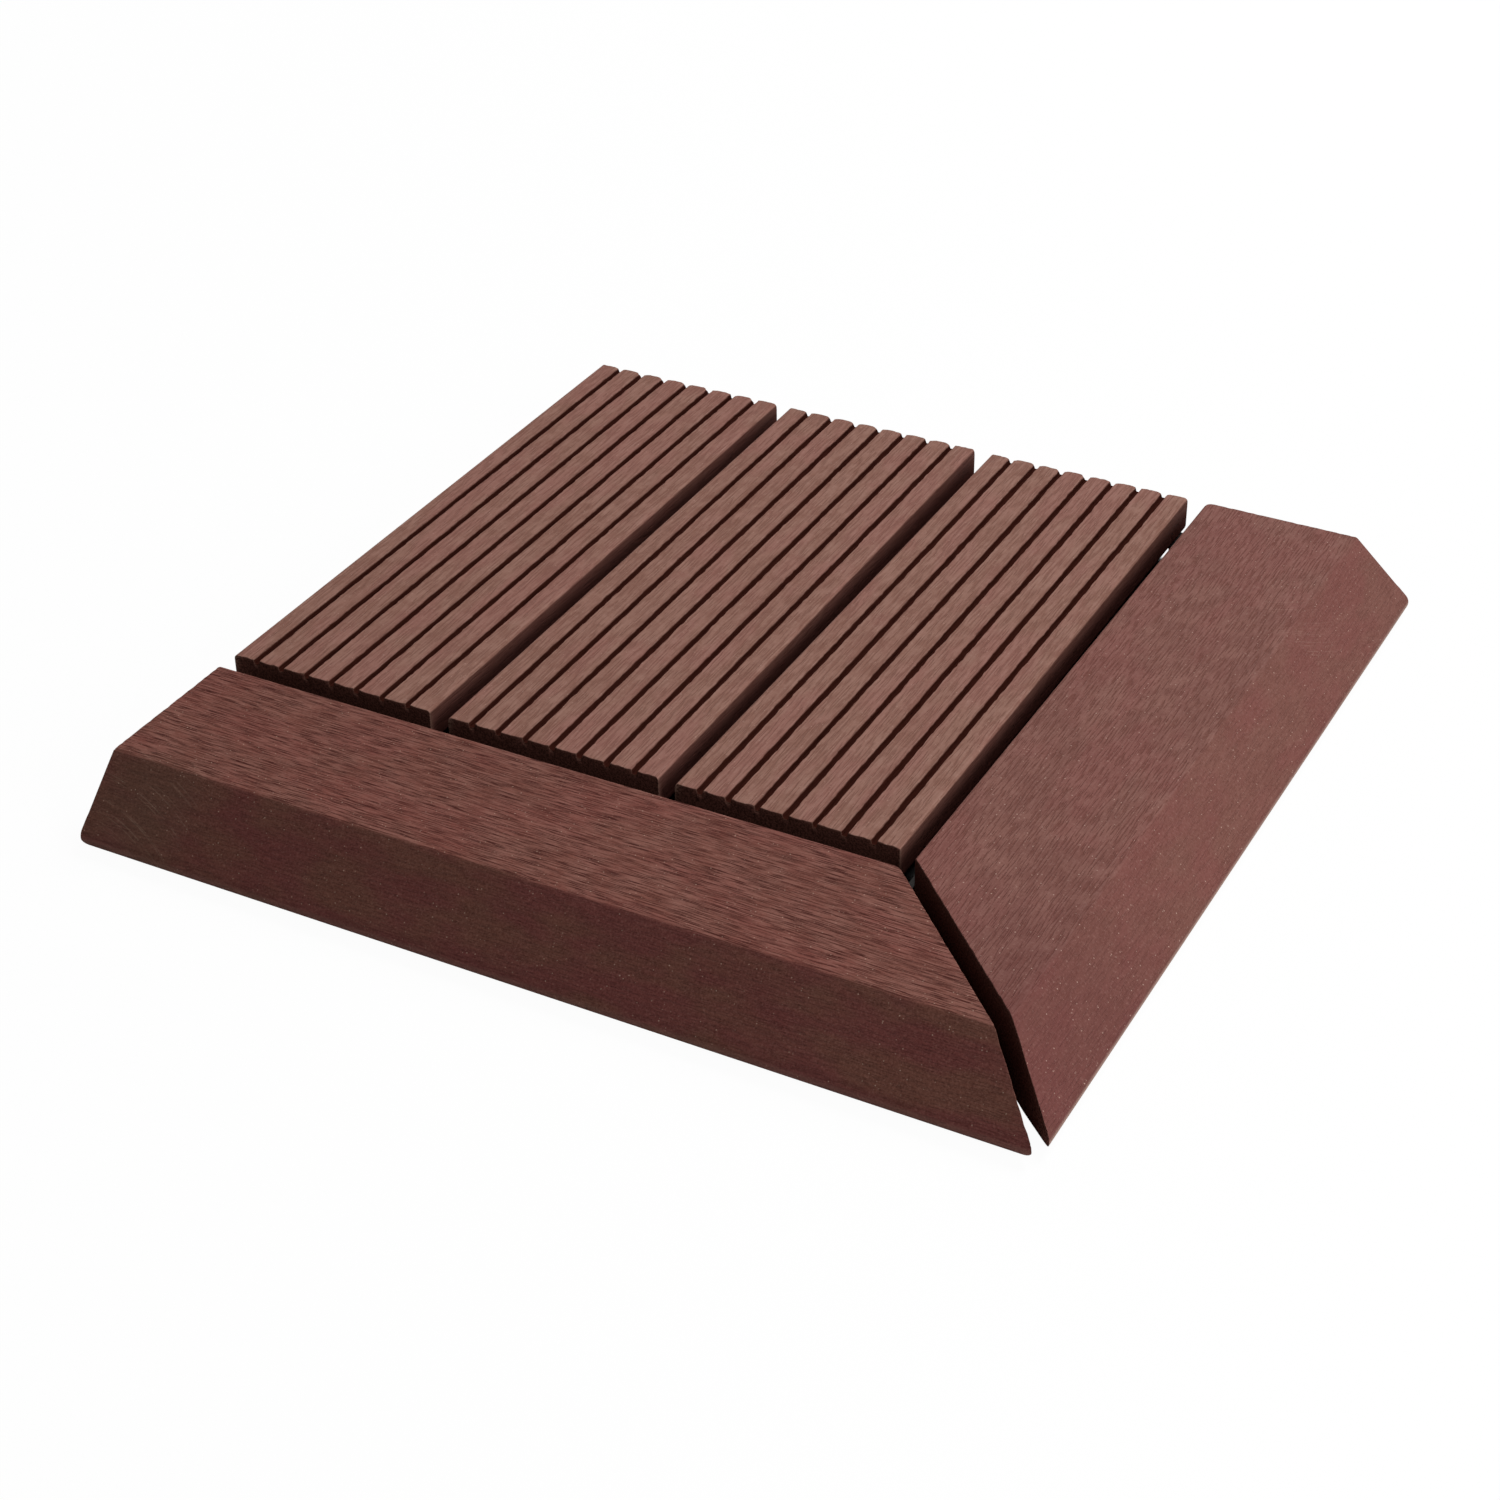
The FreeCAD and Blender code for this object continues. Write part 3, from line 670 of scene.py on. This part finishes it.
def brushed_slat(look):
    """Brushed composite along Y, with sides and grooves darkened by their unbrushed skin and by painted
    shade, painted highlights on the front corners, and rough saw cuts.
    """
    material, tree, shader, place = new_material("brushed_slat")
    patterns = composite_patterns(tree, place, "Y", look)
    colour = brushed_colour(tree, patterns, look)
    colour = scatter_flecks(tree, place, patterns["specks"], colour, look)
    # Walls: their darker unbrushed skin with painted shade, deeper towards the bottom
    side = wall_skin_and_painted_shade(tree, place)
    # Grooves: their unbrushed skin with painted shade
    groove = ease(tree, read_paint(tree, "groove"), 0.02, 0.35)
    colour = tint(tree, groove, tint(tree, side, colour, look["skin"]), GROOVE_SKIN_AND_SHADE)
    colour, sawn = saw_cuts(tree, patterns["specks"], colour, look)
    torn = calculate(tree, "MAXIMUM", side, calculate(tree, "MAXIMUM", sawn, groove))
    set_surface(tree, shader, patterns, colour, torn, look)
    return material


slat_finish = brushed_slat(SLAT_LOOK)
for seed, node in enumerate(SLAT_SKEWS):
    make_slat(node, seed).data.materials.append(slat_finish)

# Edge boards
# One wood-plastic extrusion cut into two lengths: a flat brushed top, a bevel and a rounded nose that
# lands on the ground. A saw cut at 45 degrees leaves an open mitre between them, worn round on the front
# board only.
BOARD_WIDTH = 70.5
BEVEL = 43.0
NOSE_ROUND = 3.5
ARRIS_ROUND = 1.5
INNER_ROUND = 1.0
SOLE_WIDTH = 26.0
BOARD_TOP = 23.0
REBATE_HEIGHT = 10.0
BOARD_ROWS = 10
UPPER_NOSE_START = 186
LOWER_NOSE_START = 192
NOSE_STEPS = 8
BEVEL_STEPS = 14
ROUND_STEPS = 6
EDGE_STEPS = 5
TOP_STEPS = 24

# Wear: ragged cuts, an arris that wanders, and for each board how far the tips of its toe, the inner corner
# of its mitre and that of its square end are worn back
TEAR = 0.1
TEAR_LENGTH = 0.8
CUT_ROUND = 0.3
ARRIS_WEAR = 0.06
ARRIS_WEAR_LENGTH = 9.0
ARRIS_REACH = 1.5
TIP_REACH = 12.0
TIP_WEAR = {"front_edge_board": 3.5, "right_edge_board": 1.2}
WORN_CORNER = {"front_edge_board": 8.0, "right_edge_board": 0.0}
SQUARE_END_ROUND = {"front_edge_board": 1.5, "right_edge_board": 3.0}

# Where the smooth skin of the bevel gives way to the brushed top, behind the crest, how high the painted
# highlight along the toe reaches, and how far pale fibres reach from a cut
BEVEL_END = 0.3
BEVEL_FADE = 0.8
TOE_LINE = 4.4
BOARD_FRINGE_REACH = 0.3


def line(start, end, steps):
    """Points on a straight run, without its first and last."""
    share = np.linspace(0, 1, steps + 2)[1:-1, None]
    return np.array(start) * (1 - share) + np.array(end) * share


def board_section():
    """The edge board's upper and lower curves from the toe inwards, with as many points on each, and how far
    behind the toe the bevel meets the top.

    The nose is a circle that touches the ground and runs tangent into the bevel.
    """
    slope = np.radians(BEVEL)
    foot = NOSE_ROUND * (1 - 1 / np.tan(slope / 2))
    crest = foot + BOARD_TOP / np.tan(slope)
    nose = (NOSE_ROUND, NOSE_ROUND)
    upper_nose = arc(nose, NOSE_ROUND, UPPER_NOSE_START, 90 + BEVEL, NOSE_STEPS)
    back_set = ARRIS_ROUND * np.tan(slope / 2)
    arris_centre = (crest + back_set, BOARD_TOP - ARRIS_ROUND)
    arris = arc(arris_centre, ARRIS_ROUND, 90 + BEVEL, 90, ROUND_STEPS)
    inner_centre = (BOARD_WIDTH - INNER_ROUND, BOARD_TOP - INNER_ROUND)
    inner = arc(inner_centre, INNER_ROUND, 90, 0, ROUND_STEPS)
    brow = [SOLE_WIDTH, BOARD_TOP]
    bevel = line(upper_nose[-1], arris[0], BEVEL_STEPS)
    outer_top = np.concatenate([upper_nose, bevel, arris, line(arris[-1], brow, EDGE_STEPS), [brow]])
    near_edge = [BOARD_WIDTH - 3 * INNER_ROUND, BOARD_TOP]
    flat = line(brow, near_edge, TOP_STEPS)
    inner_top = np.concatenate([flat, [near_edge], line(near_edge, inner[0], EDGE_STEPS), inner])
    lower_nose = arc(nose, NOSE_ROUND, LOWER_NOSE_START, 270, NOSE_STEPS)
    sole_end = [SOLE_WIDTH, 0.0]
    sole = line(lower_nose[-1], sole_end, len(outer_top) - len(lower_nose) - 1)
    step = [[SOLE_WIDTH, 0.5 * REBATE_HEIGHT], [SOLE_WIDTH, REBATE_HEIGHT]]
    top = np.concatenate([outer_top, [brow, brow], inner_top])
    under = np.stack([inner_top[:, 0], np.full(len(inner_top), REBATE_HEIGHT)], -1)
    bottom = np.concatenate([lower_nose, sole, [sole_end], step, under])
    return top, bottom, crest


def mitre_end(across, length, worn):
    """How far the board runs at a distance from its toe: length less that distance, and near the inner edge
    a circle of the worn radius that touches both the mitre and the edge."""
    reach = length - across
    if worn:
        middle = BOARD_WIDTH - worn
        circle = np.sqrt(np.clip(worn**2 - (across - middle) ** 2, 0, None))
        circle += length - middle - worn * np.sqrt(2)
        reach = np.where(across > middle + worn / np.sqrt(2), circle, reach)
    return reach


def make_board(node, seed):
    """An edge board in its place, with a square end at t = 0 and the mitre at t = 1.

    Both saw cuts are ragged, the square one only behind the bevel. The tips of the toe are worn back by the
    square of their height's share of the nose, and the arris wanders down slightly.
    """
    rng = np.random.default_rng(seed)
    top, bottom, crest = board_section()
    low, high = solid_corners(node)
    lies_in_front = node == "front_edge_board"
    length = high[0] - low[0] if lies_in_front else high[1] - low[1]
    run = np.concatenate([[0], np.cumsum(np.hypot(*np.diff(top, axis=0).T))])
    tear = TEAR * np.abs(knot_noise(rng, np.zeros(len(top), int), run, TEAR_LENGTH, run[-1]))

    def carry(column, across, height, t):
        radius = SQUARE_END_ROUND[node]
        past = np.clip(across - (BOARD_WIDTH - radius), 0, radius)
        low_share = np.clip(1 - height / NOSE_ROUND, 0, 1)
        worn_tip = TIP_WEAR[node] * low_share**2 * np.clip(1 - across / TIP_REACH, 0, 1)
        start = radius - np.sqrt(radius**2 - past**2) + worn_tip
        end = mitre_end(across, length, WORN_CORNER[node]) - worn_tip
        along = start + t * (end - start)
        skin = np.exp(-np.clip(top[column, 1] - height, 0, None) / RAGGED_DEPTH)
        wander = knot_noise(rng, np.zeros_like(column), along, ARRIS_WEAR_LENGTH, length)
        height = height - ARRIS_WEAR * np.abs(wander) * bell(across - crest, ARRIS_REACH) * skin
        from_end = np.minimum(along - start, end - along)
        height = height - quarter_fall(from_end, CUT_ROUND) * skin * (across > NOSE_ROUND)
        height = np.maximum(height, 0)
        torn = tear[column] * skin
        along = along + torn * (across > crest) * np.exp(start - along) - torn * np.exp(along - end)
        if lies_in_front:
            return np.stack([low[0] + along, low[1] + across, height], -1)
        return np.stack([high[0] - across, high[1] - along, height], -1)

    mesh, column, across, height, t = block_mesh(
        f"{node}_length", top, bottom, BOARD_ROWS, end_stations(length), carry
    )
    tidy_mesh(mesh, BOARD_CREASE)
    from_end = np.minimum(t, 1 - t) * length
    on_top = height >= top[column, 1] - TOUCH
    on_nose = (height < NOSE_ROUND) & (across < NOSE_ROUND)
    on_bevel = np.clip((crest + BEVEL_END - across) / BEVEL_FADE, 0, 1)
    paint(mesh, "bevel", on_bevel * (on_top | on_nose))
    paint(mesh, "sawn", (from_end < TOUCH) * (1 - on_top))
    # The toe is painted paler: a painted highlight for the light that the nose catches
    paint(mesh, "toe", np.clip(TOE_LINE - height, 0, 1) * (across < 0.5 * NOSE_ROUND))
    paint(mesh, "fringe_and_highlight", np.exp(-from_end / BOARD_FRINGE_REACH) * on_top * 0.5)
    return add_piece(f"{node}_length", mesh, node)


# Both boards are cut from one extrusion, and their two looks are lit and shaded copies of it: the front
# board's is painted darker, with stronger dark streaks, for the shade on its grain, which runs across the
# light. A stain is its share, centre and reach. A scuff is its share, the hub that its scratches run about,
# its centre and reach, and the space between scratches.
EDGE_LOOK = {
    # skin: the dark of the walls, their unbrushed skin with painted shade
    "skin": (0.05, 0.018, 0.013),
    "cut": (0.15, 0.062, 0.048),
    "cut_dark": (0.066, 0.026, 0.02),
}
FRONT_SHADED_LOOK = EDGE_LOOK | {
    "mottle_scale": 0.12,
    "fineness": 3.6,
    "dark": (0.147, 0.052, 0.039),
    "light": (0.172, 0.07, 0.054),
    "red": (0.171, 0.05, 0.042),
    "redness": 0.4,
    "streak": (0.05, 0.012, 0.009),
    "streaks": 1.0,
    "bands": 0.35,
    "pale": (0.247, 0.115, 0.09),
    "shine": 0.4,
    "fibre": (0.45, 0.3, 0.23),
    "fibres": 0.65,
    "sand": 0.3,
    "bevel": (0.123, 0.051, 0.036),
    "bevel_red": (0.123, 0.037, 0.034),
    "bevel_share": 0.85,
    "bevel_streaks": 0.12,
    "toe": 0.1,
    "stain": (0.09, 0.06, 0.04),
    "stains": ((0.3, (-124, -140, 14), 26.0),),
    "scuffs": ((0.15, (-150, -187, -32), (-124, -140, 14), 26.0, 0.9),),
    "fluff_and_highlight": (0.2, 0.1, 0.075),
    "relief": 0.16,
}
RIGHT_LOOK = EDGE_LOOK | {
    "mottle_scale": 0.1,
    "fineness": 2.0,
    "dark": (0.151, 0.063, 0.051),
    "light": (0.185, 0.083, 0.067),
    "red": (0.176, 0.065, 0.056),
    "redness": 0.6,
    "streak": (0.09, 0.028, 0.02),
    "streaks": 0.45,
    "bands": 0.25,
    "pale": (0.244, 0.127, 0.106),
    "shine": 0.16,
    "fibre": (0.48, 0.33, 0.27),
    "fibres": 0.75,
    "sand": 0.42,
    "bevel": (0.14, 0.057, 0.045),
    "bevel_red": (0.143, 0.05, 0.043),
    "bevel_share": 0.65,
    "bevel_streaks": 0.3,
    "toe": 0.5,
    "stain": (0.106, 0.033, 0.031),
    "stains": ((0.55, (170, -125, 0), 95.0),),
    "scuffs": ((0.15, (102, 167, 143), (140, 92, 18), 20.0, 0.6),),
    "fluff_and_highlight": (0.22, 0.11, 0.085),
    "relief": 0.12,
}
SPOT_CORE = 0.2
BEVEL_SHINE = 0.2


def distance_to(tree, place, point):
    """How far each place lies from a point, in millimetres."""
    made = add_node(tree, "VectorMath", {"operation": "DISTANCE"}, Vector=place)
    plug(tree, made.inputs[1], point)
    return made.outputs["Value"]


def spot(tree, place, share, centre, reach):
    """A share about a point, falling softly to 0 at a reach from it."""
    return ease(tree, distance_to(tree, place, centre), SPOT_CORE * reach, reach, share, 0.0)


def scratches(tree, place, patches, hub, spacing):
    """Thin broken lines at uneven distances from a far hub."""
    rings = add_node(
        tree, "TexNoise", {"noise_dimensions": "1D"},
        W=distance_to(tree, place, hub), Scale=1 / spacing, Detail=3.0, Roughness=0.7,
    )
    lines = ease(tree, rings.outputs["Fac"], 0.55, 0.66)
    return calculate(tree, "MULTIPLY", lines, ease(tree, patches, 0.4, 0.58))


def bevel_skin(tree, patterns, look):
    """The smooth skin that the bevel keeps from its extrusion, with redder clouds and specks in it."""
    clouds, specks = patterns["clouds"], patterns["specks"]
    skin = tint(tree, ease(tree, clouds, 0.4, 0.62), look["bevel"], look["bevel_red"])
    skin = tint(tree, ease(tree, specks, 0.42, 0.7, 0.0, 0.55), skin, look["streak"])
    return tint(tree, ease(tree, specks, 0.3, 0.45, 0.25, 0.0), skin, look["pale"])


def brushed_edge(name, direction, look):
    """Brushed composite along X or Y: a smooth bevel, a painted highlight along the toe, walls darkened by
    their skin and by painted shade, stains, scuffs and rough saw cuts.
    """
    material, tree, shader, place = new_material(name)
    patterns = composite_patterns(tree, place, direction, look)
    smooth = read_paint(tree, "bevel")
    streak_share = ease(tree, smooth, 0.0, 1.0, 1.0, look["bevel_streaks"])
    pale_share = ease(tree, smooth, 0.0, 1.0, 1.0, BEVEL_SHINE)
    colour = brushed_colour(tree, patterns, look, streak_share, pale_share)
    skin_share = calculate(tree, "MULTIPLY", smooth, look["bevel_share"])
    colour = tint(tree, skin_share, colour, bevel_skin(tree, patterns, look))
    for share, centre, reach in look["stains"]:
        colour = tint(tree, spot(tree, place, share, centre, reach), colour, look["stain"])
    for share, hub, centre, reach, spacing in look["scuffs"]:
        marks = scratches(tree, place, patterns["patches"], hub, spacing)
        marks = calculate(tree, "MULTIPLY", marks, spot(tree, place, share, centre, reach))
        colour = tint(tree, marks, colour, look["fibre"])
    colour = scatter_flecks(tree, place, patterns["specks"], colour, look)
    # A painted highlight along the toe
    painted_toe_highlight = calculate(tree, "MULTIPLY", read_paint(tree, "toe"), look["toe"])
    colour = tint(tree, painted_toe_highlight, colour, look["fibre"])
    # Walls off the bevel: their darker unbrushed skin with painted shade
    rough = calculate(tree, "SUBTRACT", 1.0, smooth)
    side = calculate(tree, "MULTIPLY", wall_skin_and_painted_shade(tree, place), rough)
    colour = tint(tree, side, colour, look["skin"])
    colour, sawn = saw_cuts(tree, patterns["specks"], colour, look)
    set_surface(tree, shader, patterns, colour, calculate(tree, "MAXIMUM", side, sawn), look)
    return material


front_finish = brushed_edge("brushed_front", "X", FRONT_SHADED_LOOK)
right_finish = brushed_edge("brushed_right", "Y", RIGHT_LOOK)
make_board("front_edge_board", 11).data.materials.append(front_finish)
make_board("right_edge_board", 12).data.materials.append(right_finish)

# Floor
# Plain white paper under the tile. What the camera sees of it from above glows white, apart from the paper
# under the lattice, which lies in the tile's own shade and is painted dark grey for it too. From below the
# camera sees through it.
FLOOR_REACH = 4.0
FLOOR_DROP = 0.2 * MM
SHADE_FADE = 3 * MM
WHITE_SHARE = 0.96
SHADED_GREY = (0.1, 0.1, 0.1)
PAPER_GREY = (0.8, 0.8, 0.8)


def mix_shaders(tree, share, below, above):
    """One shader turning into another by a share from 0 to 1."""
    made = add_node(tree, "MixShader")
    for socket, value in zip(made.inputs, (share, below, above)):
        plug(tree, socket, value)
    return made.outputs["Shader"]


def outside_lattice(tree):
    """0 inside the rectangle that the lattice covers, seen from above, and 1 outside it."""
    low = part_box("front_edge_board")[0][0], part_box("base_grid")[0][1]
    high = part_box("base_grid")[1]
    source = add_node(tree, "SeparateXYZ", Vector=add_node(tree, "TexCoord").outputs["Object"])
    past = []
    for axis in range(2):
        middle, half = (low[axis] + high[axis]) / 2, (high[axis] - low[axis]) / 2
        away = calculate(tree, "ABSOLUTE", calculate(tree, "SUBTRACT", source.outputs[axis], middle))
        past.append(calculate(tree, "SUBTRACT", away, half))
    return ease(tree, calculate(tree, "MAXIMUM", *past), -SHADE_FADE, 0.0)


def paper():
    """Lit paper that glows white for the camera outside the lattice, and is clear for it from below."""
    material = bpy.data.materials.new("paper")
    tree = emptied_tree(material)
    seen = add_node(tree, "LightPath").outputs["Is Camera Ray"]
    behind = add_node(tree, "NewGeometry").outputs["Backfacing"]
    outside = outside_lattice(tree)
    # Under the lattice the paper is painted dark grey: painted shade
    lit = add_node(tree, "BsdfDiffuse", Color=tint(tree, outside, SHADED_GREY, PAPER_GREY))
    glow = add_node(tree, "Emission", Color=(1, 1, 1, 1), Strength=1.0)
    white = calculate(tree, "MULTIPLY", calculate(tree, "MULTIPLY", seen, outside), WHITE_SHARE)
    surface = mix_shaders(tree, white, lit.outputs["BSDF"], glow.outputs["Emission"])
    clear = add_node(tree, "BsdfTransparent").outputs["BSDF"]
    surface = mix_shaders(tree, calculate(tree, "MULTIPLY", seen, behind), surface, clear)
    add_node(tree, "OutputMaterial", Surface=surface)
    return material


floor_mesh = bpy.data.meshes.new("floor")
corners = [(x * FLOOR_REACH, y * FLOOR_REACH, -FLOOR_DROP) for x, y in ((-1, -1), (1, -1), (1, 1), (-1, 1))]
floor_mesh.from_pydata(corners, [], [(0, 1, 2, 3)])
floor_mesh.materials.append(paper())
floor = bpy.data.objects.new("floor", floor_mesh)
bpy.context.scene.collection.objects.link(floor)

# Light and camera
# A large soft lamp stands high behind and to the right, so the tops and the right bevel are lit alike and the
# front bevel and sawn ends lie in shade. A pale sky fills in. The camera stands where the photographer stood.
KEY_FROM = Vector((0.2, 0.9, 1.0)).normalized()
KEY_DISTANCE = 2.6
KEY_SIZE = 1.3
KEY_POWER = 68.0
SIDE_FROM = Vector((0.85, -0.3, 0.5))
SIDE_SIZE = 0.5
SIDE_POWER = 4.6
SKY_STRENGTH = 0.2
CAMERA_TARGET = Vector((0.02362, -0.04801, 0.02311))
CAMERA_AZIMUTH = np.radians(28.35)
CAMERA_ELEVATION = np.radians(33.62)
CAMERA_ROLL = np.radians(-0.79)
CAMERA_DISTANCE = 0.84434
CAMERA_LENS = 70.384
CAMERA_SENSOR = 36.0
CAMERA_NEAREST = 0.01


def add_lamp(name, place, size, power):
    """A round soft lamp that faces the tile."""
    lamp = bpy.data.lights.new(name, "AREA")
    lamp.shape = "DISK"
    lamp.size = size
    lamp.energy = power
    holder = bpy.data.objects.new(name, lamp)
    holder.location = place
    holder.rotation_mode = "QUATERNION"
    holder.rotation_quaternion = place.to_track_quat("Z", "Y")
    bpy.context.scene.collection.objects.link(holder)


def pale_sky():
    """A dim white sky that the camera and glossy rays see at full white."""
    world = bpy.data.worlds.new("sky")
    tree = emptied_tree(world)
    path = add_node(tree, "LightPath")
    seen = calculate(tree, "MAXIMUM", path.outputs["Is Camera Ray"], path.outputs["Is Glossy Ray"])
    strength = ease(tree, seen, 0.0, 1.0, SKY_STRENGTH, 1.0)
    sky = add_node(tree, "Background", Color=(1, 1, 1, 1), Strength=strength)
    add_node(tree, "OutputWorld", Surface=sky.outputs["Background"])
    return world


add_lamp("key", KEY_FROM * KEY_DISTANCE, KEY_SIZE, KEY_POWER)
add_lamp("side", SIDE_FROM, SIDE_SIZE, SIDE_POWER)
bpy.context.scene.world = pale_sky()

back = Vector((
    np.sin(CAMERA_AZIMUTH) * np.cos(CAMERA_ELEVATION),
    -np.cos(CAMERA_AZIMUTH) * np.cos(CAMERA_ELEVATION),
    np.sin(CAMERA_ELEVATION),
))
lens = bpy.data.cameras.new("camera")
lens.lens = CAMERA_LENS
lens.sensor_width = CAMERA_SENSOR
lens.sensor_fit = "HORIZONTAL"
lens.clip_start = CAMERA_NEAREST
camera = bpy.data.objects.new("camera", lens)
camera.location = CAMERA_TARGET + back * CAMERA_DISTANCE
camera.rotation_mode = "QUATERNION"
camera.rotation_quaternion = back.to_track_quat("Z", "Y") @ Euler((0, 0, CAMERA_ROLL)).to_quaternion()
bpy.context.scene.collection.objects.link(camera)
bpy.context.scene.camera = camera
bpy.context.scene.view_settings.view_transform = "Standard"
